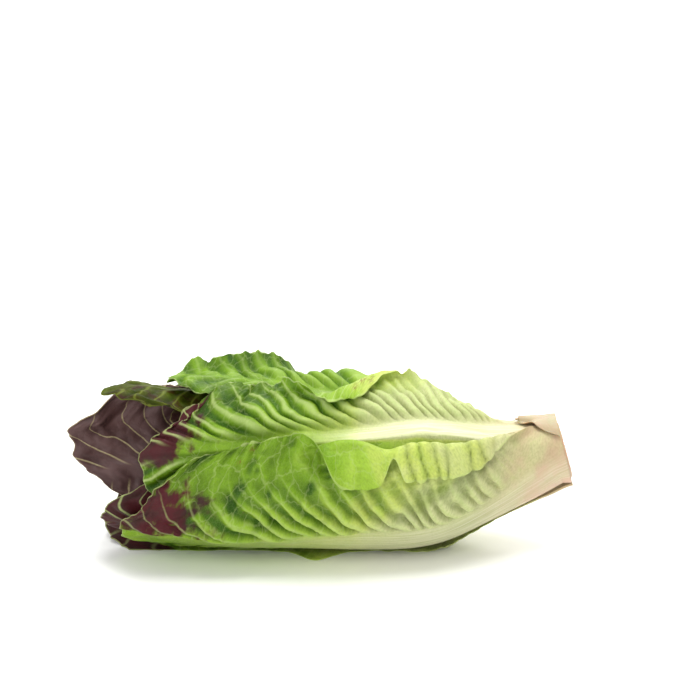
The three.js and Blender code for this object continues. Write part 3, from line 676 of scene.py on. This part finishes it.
def lay_leaf(leaf, finish, red=None):
    """Lays a leaf over those laid before it, and makes it a closed shell. red is a function
    that says how red the blade is."""
    shape_margins(leaf)
    place_leaf(leaf)
    grow_ribs(leaf)
    u, share, angle, station = leaf.u, leaf.share, leaf.angle, leaf.station
    blade = mix(BLADE_THICKNESS, MARGIN_THICKNESS, step(0.9, 1, share))
    outside = blade / 2 + leaf.ribbing * RIB_OUTWARD
    inside = blade / 2 + leaf.ribbing * (1 - RIB_OUTWARD)
    relief = 0 * u if leaf.stub else crimp_blade(leaf)

    radius = np.maximum(through(OUTLINE, grid_stations) - max(leaf.depth, 0), LEAST_RADIUS)
    over = read_grid(reach_over(radius, DRAPE_SPAN), station, angle) + CLEARANCE + inside
    out = (leaf.around + over + np.hypot(leaf.around - over, 0.6)) / 2 + relief + leaf.lifted
    # A leaf that meets the table lies flat on it, or on the leaf between
    floor_depth = centre_height(station) * np.hypot(1, centre_slope(station)) - leaf.above - outside
    down = -np.sin(angle)
    if leaf.above == 0:
        rest = step(REST[0], REST[0] + 16, station) * step(REST[1], REST[1] - 16, station)
        out = mix(out, np.maximum(out, floor_depth / np.maximum(down, 0.5)), rest * step(0.9, 0.96, down))
    out = np.where(down > 0.2, np.minimum(out, floor_depth / np.maximum(down, 0.2)), out)

    leaf.middle = middle = in_head(station, angle, out)
    normal = np.cross(np.gradient(middle, axis=0), np.gradient(middle, axis=1))
    normal /= np.maximum(np.linalg.norm(normal, axis=-1, keepdims=True), 1e-9)
    outer = middle + normal * outside[..., None]
    inner = middle - normal * inside[..., None]
    for face in (outer, inner):
        around_it = np.arctan2(face[..., 2], -face[..., 1]) / (2 * math.pi) * ANGLES
        across = np.round(around_it).astype(int) % ANGLES
        cells = np.clip(np.round(face[..., 0] / STATION_STEP), 0, len(laid) - 1).astype(int)
        np.maximum.at(laid, (cells, across), np.hypot(face[..., 1], face[..., 2]))

    count = u.size
    number = np.arange(count).reshape(u.shape)
    a, b, c, d = number[:-1, :-1], number[:-1, 1:], number[1:, 1:], number[1:, :-1]
    outer_faces = np.stack([a, d, c, b], -1).reshape(-1, 4)
    inner_faces = np.stack([a, b, c, d], -1).reshape(-1, 4) + count
    rim = np.r_[number[0, :-1], number[:-1, -1], number[-1, :0:-1], number[:0:-1, 0]]
    onto = np.roll(rim, -1)
    rim_faces = np.stack([rim, onto, onto + count, rim + count], -1)
    points = placed(np.concatenate([outer.reshape(-1, 3), inner.reshape(-1, 3)]))
    points[:, 2] = np.maximum(points[:, 2], 0)
    faces = np.concatenate([outer_faces, inner_faces, rim_faces]).tolist()
    piece = closed_mesh(leaf.name, points, faces, finish)
    mark_leaf(leaf, piece, 0 * u if red is None else np.clip(red(leaf), 0, 1))
    return piece


def mark_leaf(leaf, piece, red):
    """Stores what the finish reads, at both faces of the shell."""
    u = leaf.u
    strength = step(0, 6, leaf.beyond) * step(0.04, 0.14, u) * mix(1, 0.2, step(14, 42, leaf.beyond))
    below_keel = leaf.keel * leaf.low_side
    cream = step(1.05, 0.35, leaf.from_rib / (leaf.rib_half * (1 - 0.96 * below_keel)))
    cream = cream * step(leaf.pale[1], leaf.pale[0], u)
    age = through(leaf.ages, u) + mix(0.4, 0.25, u) * step(4, 36, leaf.beyond) * step(0.05, 0.2, u)
    age = age + 0.6 * below_keel * step(0.2, 3, leaf.from_rib) * step(0.04, 0.14, u)
    swelling = leaf.vein_width * leaf.pitch * np.exp(-leaf.beyond / 13) * mix(1, 0.4, step(0.7, 0.95, u))
    # Painted shade: how much the finish darkens the hollows between side ribs, the creases of the crimps
    # and the dents of the blisters
    crease_shade = (1 - leaf.crimp) * leaf.crimped
    shown = leaf.near * step(0.1, 0.25, u) * mix(1, 0.15, step(16, 42, leaf.beyond)) * (1 - leaf.turned)
    hollow = leaf.hollow * shown * (0.3 + 0.7 * leaf.rib) * min(leaf.deep, 1)
    dents = 0 if leaf.stub else 0.55 * leaf.dents * (1 - leaf.turned) * leaf.pucker
    bruise = 0 * u
    for along, across, size in leaf.bruises:
        apart = np.hypot((u - along) * leaf.length, (leaf.v - across) * max(leaf.half))
        bruise = np.maximum(bruise, np.exp(-((apart / size) ** 2)))
    notes = {
        "rib_count": leaf.rib_count,
        "rib_pitch": leaf.pitch,
        "rib_width": 0.4 + swelling,
        "travel": leaf.travel,
        "aside": leaf.aside,
        "midrib": np.clip(cream, 0, 1),
        "ripe": age,
        "edge": leaf.edge,
        "pocket_shade": np.clip(hollow + 0.6 * crease_shade + dents, 0, 1),
        "strength": strength * leaf.veined,
        "bruise": bruise,
        "red": red,
    }
    for name, values in notes.items():
        note(piece, name, np.tile(values.ravel(), 2))


# Two effects that every leaf shares: its veins, and blotches with a soft ragged edge
def new_group(name, inputs, outputs):
    group = bpy.data.node_groups.new(name, "ShaderNodeTree")
    for kind, sockets in (("INPUT", inputs), ("OUTPUT", outputs)):
        for label, start in sockets:
            socket = group.interface.new_socket(label, in_out=kind, socket_type="NodeSocketFloat")
            if kind == "INPUT":
                socket.default_value = start
    return group, group.nodes.new("NodeGroupInput"), group.nodes.new("NodeGroupOutput")


def on_blade(tree):
    """A place on the blade in mm: along the leaf, and aside from its midrib."""
    node = add(tree, "ShaderNodeCombineXYZ", {0: read(tree, "travel"), 1: read(tree, "aside")})
    return node.outputs[0]


veins_group, given, made = new_group(
    "leaf_veins",
    [("Net Size", 4.5), ("Fine Net Size", 1.5)],
    [("Side Ribs", 0.0), ("Net", 0.0), ("Fine Net", 0.0), ("Height", 0.0)],
)
place = on_blade(veins_group)
half_way = calc(veins_group, "FRACT", calc(veins_group, "ADD", read(veins_group, "rib_count"), 0.5))
off = calc(veins_group, "ABSOLUTE", calc(veins_group, "SUBTRACT", half_way, 0.5))
off_mm = calc(veins_group, "MULTIPLY", off, read(veins_group, "rib_pitch"))
off_rib = calc(veins_group, "DIVIDE", off_mm, read(veins_group, "rib_width"))
side_ribs = ramp(veins_group, calc(veins_group, "SUBTRACT", 1.0, off_rib), 0.0, 0.9)
side_ribs = calc(veins_group, "MULTIPLY", side_ribs, read(veins_group, "strength"))
warp = add(veins_group, "ShaderNodeTexNoise", {"Vector": place, "Scale": 0.22, "Detail": 2.0})
warp_in_mm = {0: warp.outputs["Color"], 1: (6, 6, 0)}
shift = add(veins_group, "ShaderNodeVectorMath", warp_in_mm, operation="MULTIPLY")
warped = add(veins_group, "ShaderNodeVectorMath", {0: place, 1: shift.outputs[0]}, operation="ADD")
nets = []
for size_name, width in (("Net Size", 0.07), ("Fine Net Size", 0.14)):
    scale = calc(veins_group, "DIVIDE", 1.0, given.outputs[size_name])
    cells = add(veins_group, "ShaderNodeTexVoronoi", {"Vector": warped.outputs[0], "Scale": scale},
                feature="DISTANCE_TO_EDGE", voronoi_dimensions="2D")
    nets.append(ramp(veins_group, cells.outputs["Distance"], width, 0.0))
height = calc(veins_group, "ADD", side_ribs, calc(veins_group, "MULTIPLY", nets[0], 0.5))
height = calc(veins_group, "ADD", height, calc(veins_group, "MULTIPLY", nets[1], 0.2))
for label, value in (("Side Ribs", side_ribs), ("Net", nets[0]), ("Fine Net", nets[1]), ("Height", height)):
    veins_group.links.new(value, made.inputs[label])

blotch_group, given, made = new_group(
    "ragged_blotches", [("Amount", 0.0), ("Size", 6.0), ("Softness", 0.12)], [("Blotches", 0.0)]
)
scale = calc(blotch_group, "DIVIDE", 1.0, given.outputs["Size"])
patches = noise(blotch_group, on_blade(blotch_group), scale, 5.0)
level = calc(blotch_group, "MULTIPLY_ADD", given.outputs["Amount"], -0.62, 0.82)
low = calc(blotch_group, "SUBTRACT", level, given.outputs["Softness"])
high = calc(blotch_group, "ADD", level, given.outputs["Softness"])
blotch_group.links.new(ramp(blotch_group, patches, low, high), made.inputs["Blotches"])


def multiply(tree, share, first, second):
    """The first colour, multiplied by the second as far as share says."""
    node = add(tree, "ShaderNodeVectorMath", {0: first, 1: second[:3]}, operation="MULTIPLY")
    return tint(tree, share, first, node.outputs[0])


def ripening(tree, age, tones):
    """A colour that runs through the tones as the blade grows older."""
    node = add(tree, "ShaderNodeValToRGB", {"Fac": age})
    stops = node.color_ramp.elements
    while len(stops) < len(tones):
        stops.new(0.5)
    for stop, (place, code) in zip(stops, tones):
        stop.position = place
        stop.color = paint(code)
    return node.outputs["Color"]


BRUISE_BROWN = "7A4A22"
BASE_BLUSH = "C8968A"


def leaf_finish(name, tones, rib_tone, vein_tone, red_tone, shade="7FA63C", gloss=0.46, thin=0.3, net=0.28,
                rib_light="E2E2C0", gleam=0.22, net_size=4.5, red_shade="402622"):
    """The finish of a leaf: a cream midrib, a blade that ripens towards tip and margin with
    painted shade in the pockets between pale side ribs, in crimp creases and in blister dents,
    a painted highlight along the margin, red blotches, and light that comes through it."""
    material, tree = new_material(name)
    veins = add(tree, "ShaderNodeGroup", {"Net Size": net_size}, node_tree=veins_group)
    place = on_blade(tree)
    mottle = noise(tree, place, 0.07, 4.0)
    fine = noise(tree, place, 0.8, 4.0)
    age = calc(tree, "ADD", read(tree, "ripe"), calc(tree, "MULTIPLY_ADD", mottle, 0.7, -0.35))
    blade = ripening(tree, age, tones)
    freckled = calc(tree, "MULTIPLY", ramp(tree, fine, 0.35, 0.75), 0.25)
    blade = multiply(tree, freckled, blade, paint(shade))
    # Painted shade: the pockets between side ribs, the creases of crimps and the dents of blisters are
    # darkened towards the shade colour
    deep = calc(tree, "MULTIPLY", read(tree, "pocket_shade"), ramp(tree, age, -0.1, 0.6, 0.35, 1.0))
    blade = multiply(tree, deep, blade, paint(shade))
    pale = calc(tree, "MULTIPLY", ramp(tree, fine, 0.2, 0.7, 0.5, 1.0), net)
    fine_net = calc(tree, "MULTIPLY", veins.outputs["Fine Net"], calc(tree, "MULTIPLY", pale, 0.35))
    blade = tint(tree, fine_net, blade, paint(vein_tone))
    blade = tint(tree, calc(tree, "MULTIPLY", veins.outputs["Net"], pale), blade, paint(vein_tone))
    blotches = {"Amount": read(tree, "red"), "Size": 7.0, "Softness": 0.13}
    red = add(tree, "ShaderNodeGroup", blotches, node_tree=blotch_group)
    deep_red = tint(tree, ramp(tree, mottle, 0.4, 0.65), paint(red_tone), paint(red_shade))
    blade = tint(tree, red.outputs[0], blade, deep_red)
    pale_ribs = calc(tree, "MULTIPLY", veins.outputs["Side Ribs"], ramp(tree, fine, 0.2, 0.8, 0.45, 0.7))
    blade = tint(tree, pale_ribs, blade, paint(vein_tone))
    scorched = calc(tree, "MULTIPLY", read(tree, "bruise"), ramp(tree, fine, 0.35, 0.6))
    blade = tint(tree, calc(tree, "MULTIPLY", scorched, 0.85), blade, paint(BRUISE_BROWN))
    # A painted highlight: the blade is made lighter along its margin
    rim = calc(tree, "MULTIPLY", ramp(tree, read(tree, "edge"), 0.8, 0.1), 0.45)
    blade = tint(tree, rim, blade, paint(vein_tone))
    drawn_out = add(tree, "ShaderNodeMapping", {"Vector": place, "Scale": (0.03, 1.2, 1)}).outputs[0]
    stripe = noise(tree, drawn_out, 1.0)
    rib = tint(tree, ramp(tree, stripe, 0.35, 0.7), paint(rib_tone), paint(rib_light))
    rib = tint(tree, ramp(tree, read(tree, "travel"), 60, 160, 0.0, 0.55), rib, blade)
    colour = tint(tree, read(tree, "midrib"), blade, rib)
    near_base = ramp(tree, read(tree, "travel"), 60, 2)
    blush = calc(tree, "MULTIPLY", near_base, ramp(tree, mottle, 0.3, 0.7, 0.3, 1.0))
    colour = tint(tree, calc(tree, "MULTIPLY", blush, 0.7), colour, paint(BASE_BLUSH))
    rise = calc(tree, "MULTIPLY", veins.outputs["Height"], 0.55)
    rise = calc(tree, "ADD", rise, calc(tree, "MULTIPLY", fine, 0.3))
    furrows = calc(tree, "MULTIPLY", stripe, read(tree, "midrib"))
    rise = calc(tree, "ADD", rise, calc(tree, "MULTIPLY", furrows, 0.8))
    bump = add(tree, "ShaderNodeBump", {"Strength": 0.5, "Distance": 0.0005, "Height": rise}).outputs[0]
    rough = calc(tree, "MULTIPLY_ADD", fine, 0.25, gloss - 0.1)
    body = add(tree, "ShaderNodeBsdfPrincipled", {
        "Base Color": colour, "Roughness": rough, "Normal": bump, "Specular IOR Level": gleam,
    })
    glow = add(tree, "ShaderNodeBsdfTranslucent", {"Color": colour, "Normal": bump})
    through_blade = calc(tree, "MULTIPLY", ramp(tree, read(tree, "midrib"), 0.0, 1.0, 1.0, 0.2), thin)
    both = add(tree, "ShaderNodeMixShader", {0: through_blade, 1: body.outputs[0], 2: glow.outputs[0]})
    add(tree, "ShaderNodeOutputMaterial", {"Surface": both.outputs[0]})
    return material


heart_tones = [(0.0, "EEEFC0"), (0.3, "DDE68C"), (0.7, "BFD65A"), (1.0, "9DC03C")]
olive_tones = [(0.0, "DDE0A0"), (0.3, "A9BE4C"), (0.6, "5E7018"), (1.0, "3E3C0A")]
heart_finish = leaf_finish(
    "heart_leaf", heart_tones, rib_tone="EBEBC6", vein_tone="E3EAA8", red_tone="4A1F22")
heart_red_finish = leaf_finish(
    "red_heart_leaf", olive_tones, rib_tone="E3DDB4", vein_tone="A9A268", red_tone="35161A", net=0.15)


def red_tip(leaf):
    return step(0.5, 0.75, leaf.u)


# Each leaf's node, its angle, the stations of its base and tip, its half width, how deep it
# lies, and whether its tip is red
HEART = [
    ("leaf_16", -128, 54, 142, 14, 40, False),
    ("leaf_15", 95, 50, 162, 17, 36, False),
    ("leaf_14", -43, 46, 176, 21, 32, False),
    ("leaf_13", 180, 42, 188, 25, 28, False),
    ("leaf_12", 43, 38, 196, 29, 24, False),
    ("leaf_11", -95, 34, 205, 33, 21, True),
    ("leaf_10", -12, 30, 204, 36, 18, True),
    ("leaf_09", -150, 26, 234, 39, 15, True),
    ("leaf_08", 65, 22, 218, 40, 13, True),
]
for order, (node, turn, start, end, half, depth, red) in enumerate(HEART):
    shape = Leaf(f"heart_{node}", turn, start, end, [half, half], depth, seed=order)
    leaf = lay_leaf(shape, heart_red_finish if red else heart_finish, red_tip if red else None)
    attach(leaf, "root")
    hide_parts(node)

# The brown-olive leaf grows at the back of the head and shows behind its top. One of its
# margins curls outward near the tip, and both have a painted highlight along the rim.
olive_finish = leaf_finish(
    "olive_leaf", olive_tones, rib_tone="C9C98C", vein_tone="7F8A34", red_tone="40290A",
    net=0.1, gleam=0.08,
)
olive_shape = Leaf(
    "olive_leaf", turn=[[0, 126], [0.6, 112], [1, 96]], start=18, end=256, half=[34, 38], depth=9, rib=0.6,
    frill=3, rows=160, columns=36, strip_columns=18, seed=9,
    belly=[[0, 0], [180, 0], [215, 1], [236, 6], [256, 4]],
    strip=[None, [[0, 5], [0.84, 7], [0.93, 10], [1, 9]]],
    fold=[None, [[0, 0], [0.84, 0], [0.94, 45], [1, 45]]],
)
olive_leaf = lay_leaf(olive_shape, olive_finish, red=lambda leaf: 0.38 * step(0.5, 0.85, leaf.u))
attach(olive_leaf, "root")
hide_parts("leaf_07")

# A big plain leaf wraps the front of the heart, under the two front leaves. Only its dark red
# tip comes out from under them, at the open end.
green_tones = [(0.0, "D6D9A0"), (0.3, "CFDC70"), (0.55, "A8C942"), (0.8, "82AA22"), (1.0, "628608")]
green_finish = leaf_finish(
    "green_leaf", green_tones, rib_tone="C6CA98", vein_tone="C6D88A", red_tone="4E1C20", shade="86A832",
    net=0.22, net_size=8,
)
wrapper_shape = Leaf(
    "front_wrapper", turn=[[0, -72], [0.6, -70], [1, -45]], start=14, end=256, half=[46, 46], depth=9.5,
    rib=0.5, rows=150, columns=30, strip_columns=9, seed=10,
)
wrapper = lay_leaf(wrapper_shape, green_finish, red=lambda leaf: 1.1 * step(0.72, 0.86, leaf.u))
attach(wrapper, "root")
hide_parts("leaf_06")

# The long back leaf stands out past the others at the tip end. Its inner face, dark maroon
# with cream veins, is what shows there.
maroon_tones = [(0.0, "DDE0A0"), (0.25, "9DB046"), (0.5, "4C5422"), (1.0, "3A2420")]
maroon_finish = leaf_finish(
    "maroon_leaf", maroon_tones, rib_tone="CFC79A", vein_tone="D0C290", red_tone="634A48",
    gloss=0.36, thin=0.15, net=0.3, net_size=6, red_shade="4C3432",
)
back_shape = Leaf(
    "back_leaf", turn=171, start=11, end=281, half=[54, 54], depth=5.5, above=6, rib=0.7, frill=3,
    rows=190, columns=44, strip_columns=16, seed=11, pitches=(6, 10), pale=(0.3, 0.5), vein_width=0.12,
    hub=[[0, 0], [0.4, 0], [0.75, 20], [1, 26]],
    width=[[[0, 0.28], [0.08, 0.34], [0.16, 0.5], [0.3, 0.78], [0.5, 0.9], [0.65, 0.75], [0.8, 0.45],
            [0.9, 0.33], [1, 0.3]], HALF_WIDTH],
)
back_leaf = lay_leaf(back_shape, maroon_finish, red=lambda leaf: step(0.4, 0.62, leaf.u))
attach(back_leaf, "root")
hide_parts("leaf_05")

# The top leaf grows inside the upper front leaf and comes out from under its margin. Towards
# the tip its far margin stands up as a bright frilled crest.
top_shape = Leaf(
    "top_leaf", turn=[[0, 75], [0.35, 78], [0.54, 76], [0.7, 90], [1, 103]], start=5, end=220,
    half=[30, 52], depth=7, rib=0.8, frill=2.5, blunt=0.35, broad=0.5,
    rows=200, columns=40, strip_columns=24, seed=12, pale=(0.5, 0.66), plain_edge=0.15, veined=0.3,
    ages=[[0, -0.1], [0.2, 0.1], [0.4, 0.4], [0.55, 0.75], [1, 0.85]],
    belly=[[0, 0], [80, 0], [121, -3], [165, 4], [215, 5]],
    width=[HALF_WIDTH, [[0, 0.28], [0.3, 0.6], [0.5, 0.7], [0.6, 0.55], [0.68, 0.36], [0.75, 0.25],
                        [0.85, 0.18], [1, 0.16]]],
    strip=[[[0, 4], [1, 5]], [[0, 5], [0.6, 8], [0.72, 11], [0.9, 11], [1, 9]]],
    fold=[None, [[0, 0], [0.64, 0], [0.75, 70], [1, 65]]],
)
top_leaf = lay_leaf(top_shape, green_finish)
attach(top_leaf, "root")
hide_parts("leaf_03")

# The upper front leaf has the bright keeled midrib that runs the length of the head, with
# close side ribs above it. Half way along, its upper margin turns out and laps down over
# those ribs. Its tip has a dark red patch.
upper_shape = Leaf(
    "upper_front_leaf", turn=[[0, 42], [0.3, 40], [0.7, 30], [1, 25]], start=2.5, end=233, half=[48, 62],
    depth=3.6, rib=1, frill=2.5, blunt=0.7, keel=1, pitches=(4.2, 16), rib_slope=1.5, pale=(0.45, 0.7),
    rows=230, columns=48, strip_columns=26, seed=13,
    bruises=[(0.455, 0.93, 1.7), (0.475, 0.88, 1.9), (0.495, 0.92, 1.6)],
    ages=[[0, -0.25], [0.3, -0.2], [0.42, -0.05], [0.55, 0.45], [0.75, 0.78], [1, 0.8]],
    width=[HALF_WIDTH, [[0, 0.12], [0.07, 0.15], [0.118, 0.18], [0.156, 0.24], [0.205, 0.32], [0.303, 0.42],
                        [0.35, 0.5], [0.4, 0.57], [0.44, 0.54], [0.5, 0.42], [0.58, 0.33], [0.64, 0.37],
                        [0.7, 0.39], [0.735, 0.38], [0.77, 0.42], [0.81, 0.36], [0.85, 0.41], [0.885, 0.42],
                        [0.93, 0.31], [1, 0.18]]],
    strip=[None, [[0, 4], [0.1, 4], [0.3, 7], [0.39, 9], [0.43, 12], [0.47, 18], [0.5, 18], [0.58, 12],
                  [0.64, 10], [1, 10]]],
    fold=[None, [[0, 0], [0.33, 0], [0.4, 165], [0.58, 165], [0.66, 80], [0.74, 0], [1, 0]]],
)


def upper_red(leaf):
    return 0.95 * step(0.78, 0.98, leaf.u) * step(-16, 4, leaf.along) * step(40, 16, leaf.along)


upper_leaf = lay_leaf(upper_shape, green_finish, upper_red)
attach(upper_leaf, "root")
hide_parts("leaf_04")

# The front leaf carries the head's lower front, with its broad midrib along the table. Its
# upper margin is turned outward and hangs in two flaps: a narrow crimped one by the butt,
# and past a notch a smooth one, from which the margin stands up again towards the tip.
# Its finish paints the midrib darker than on the other leaves, as painted shade, and paints darker shade
# into its pockets
front_finish = leaf_finish(
    "front_leaf", green_tones, rib_tone="AEB184", vein_tone="C2D286", red_tone="541A20", shade="6A8C20",
    net=0.3, net_size=10, rib_light="CBC9A8",
)
front_shape = Leaf(
    "front_leaf", turn=[[0, -30], [0.08, -38], [0.2, -48], [0.4, -51], [1, -54]], start=1, end=246,
    half=[33, 76], depth=1, above=2.4, rib=1, frill=2.5, broad=3, veined=0.65, puff=3.4, pitches=(5.5, 17),
    rib_slope=1.4, deep=1.5, calm=0.25, pucker=1.3, pale=(0.5, 1),
    rows=235, columns=56, strip_columns=40, seed=14,
    bruises=[(0.76, 0.93, 1.9), (0.775, 0.8, 1.5)],
    ages=[[0, -0.25], [0.2, -0.2], [0.36, -0.05], [0.46, 0.25], [0.62, 0.5], [1, 0.7]],
    belly=[[0, 0], [20, 1.5], [50, 3.6], [77, 3.8], [110, 1.5], [150, -0.5], [200, -3.5], [246, -5]],
    width=[HALF_WIDTH, [[0, 0.26], [0.068, 0.38], [0.15, 0.51], [0.29, 0.76], [0.35, 0.81], [0.4, 0.79],
                        [0.45, 0.84], [0.5, 0.85], [0.56, 0.82], [0.62, 0.79], [0.68, 0.78], [0.77, 0.75],
                        [0.82, 0.73], [0.875, 0.7], [0.95, 0.62], [1, 0.5]]],
    strip=[None, [[0, 3], [0.08, 6], [0.134, 10], [0.2, 19], [0.29, 23], [0.36, 23], [0.388, 11],
                  [0.42, 26], [0.5, 27], [0.57, 15], [0.64, 11], [1, 11]]],
    fold=[None, [[0, 0], [0.05, 0], [0.12, 172], [0.5, 172], [0.58, 80], [0.66, 0], [1, 0]]],
)


def front_red(leaf):
    return 0.88 * step(0.66, 0.98, leaf.u) * step(0, 20, leaf.along) * step(60, 36, leaf.along)


front_leaf = lay_leaf(front_shape, front_finish, front_red)
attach(front_leaf, "root")
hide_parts("leaf_02")

# The under leaf is the outermost one, and the head lies on it. It is pressed flat on the
# table, and a point of its near margin shows in front.
under_shape = Leaf(
    "under_leaf", turn=-110, start=1, end=258, half=[58, 40], depth=-0.6, above=0, rib=1, frill=1.2,
    blunt=0.5, deep=0.3, veined=0.5, rows=200, columns=46, strip_columns=16, seed=15,
    ages=[[0, -0.1], [0.3, 0], [0.5, 0.15], [0.7, 0.4], [1, 0.8]],
    width=[HALF_WIDTH, [[0, 0.22], [0.1, 0.28], [0.2, 0.4], [0.3, 0.5], [0.46, 0.52], [0.54, 0.7],
                        [0.6, 0.54], [0.68, 0.5], [0.84, 0.52], [1, 0.42]]],
    strip=[None, [[0, 3], [0.2, 5], [0.46, 7], [0.54, 13], [0.62, 8], [1, 7]]],
    fold=[None, [[0, 0], [0.44, 0], [0.52, 28], [0.58, 28], [0.66, 0], [1, 0]]],
)
under_leaf = lay_leaf(under_shape, green_finish, red=lambda leaf: step(0.86, 0.93, leaf.u))
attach(under_leaf, "root")
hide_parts("leaf_01")

# A leaf was picked off at the top of the butt. It left the torn base of its midrib, a thick
# cream stub that clasps the leaves under it.
TORN_FROM_CUT = 4.0  # it is coloured like tissue this far from the cut, in mm
TORN_FROM_MIDDLE = 9.0  # and this far from the stem's middle
torn_shape = Leaf(
    "torn_base", turn=[[0, 82], [1, 90]], start=0.8, end=24, half=[11, 16], depth=0, stub=True,
    rows=40, columns=24, strip_columns=10, seed=16,
    width=[[[0, 1], [0.4, 0.9], [1, 0.55]], [[0, 1], [0.4, 0.8], [1, 0.5]]],
)
torn_base = lay_leaf(torn_shape, stem_material)
note(torn_base, "from_cut", np.full(len(torn_base.data.vertices), TORN_FROM_CUT))
note(torn_base, "from_middle", np.full(len(torn_base.data.vertices), TORN_FROM_MIDDLE))
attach(torn_base, "root")
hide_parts("torn_leaf_base")

# Where the leaf was torn off, thin fibres of the torn tissue stick out of its edge, and some
# more out of the margin of the upper leaf, beside it.
TORN_ROWS = slice(9, 26)
FIBRES = [
    ("torn_fibres", torn_shape.middle[-1], torn_shape.middle[-4], 26),
    ("margin_fibres", upper_shape.middle[TORN_ROWS, -1], upper_shape.middle[TORN_ROWS, -4], 16),
]
for name, edge, inside, count in FIBRES:
    aims = placed(edge) - placed(inside)
    aims /= np.linalg.norm(aims, axis=1, keepdims=True)
    fibres = strew(
        name, placed(edge), aims, TORN_FROM_MIDDLE,
        Count=count, Length=0.0038, Thickness=0.00028, Spread=0.55, Seed=8, Finish=stem_material,
    )
    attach(fibres, "root")
